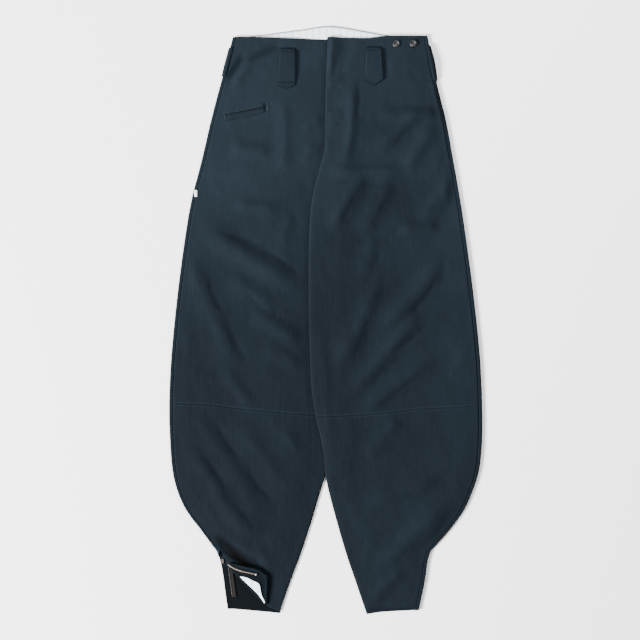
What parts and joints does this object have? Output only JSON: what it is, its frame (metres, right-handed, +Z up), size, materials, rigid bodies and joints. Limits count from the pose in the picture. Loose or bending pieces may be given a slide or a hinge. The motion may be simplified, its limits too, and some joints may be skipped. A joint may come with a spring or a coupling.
{
  "type": "tobi work trousers",
  "caption": "Wide work trousers laid flat, full in the calf and tapered to zipped ankle cuffs, with a turned-back cuff corner, wide belt loops and a ring-button waist.",
  "frame": {"origin": "middle of the bounding box, at the surface that the trousers lie on", "axes": "+Z up out of the front of the garment, +Y from the cuffs to the waist, +X towards the wearer's left leg"},
  "size_m": [0.576, 1.0814, 0.0137],
  "materials": {
    "trouser_twill": "matt dark blue-grey twill",
    "twill_inside": "matt inside face of dark twill",
    "striped_lining": "matt white cotton with faint stripes",
    "zip_tape": "matt woven tape",
    "label_tape": "plain white woven tape",
    "gunmetal": "dark polished metal",
    "zip_brass": "satin"
  },
  "bodies": {
    "root": {"front_right_thigh": "trouser_twill", "front_right_shin": "trouser_twill", "front_left_thigh": "trouser_twill", "front_left_shin": "trouser_twill", "back_right": "trouser_twill", "back_left": "trouser_twill", "waist_lining": "striped_lining", "front_right_belt_loop": "trouser_twill", "front_left_belt_loop": "trouser_twill", "side_right_belt_loop": "trouser_twill", "side_left_belt_loop": "trouser_twill", "waist_button_inner": "gunmetal", "waist_button_outer": "gunmetal", "coin_pocket_welt": "trouser_twill", "side_label": "label_tape", "right_cuff_turnback": "twill_inside", "right_cuff_lining": "striped_lining", "zip_tape_front": "zip_tape", "zip_tape_back": "zip_tape", "zip_slider": "zip_brass"}
  },
  "joints": []
}
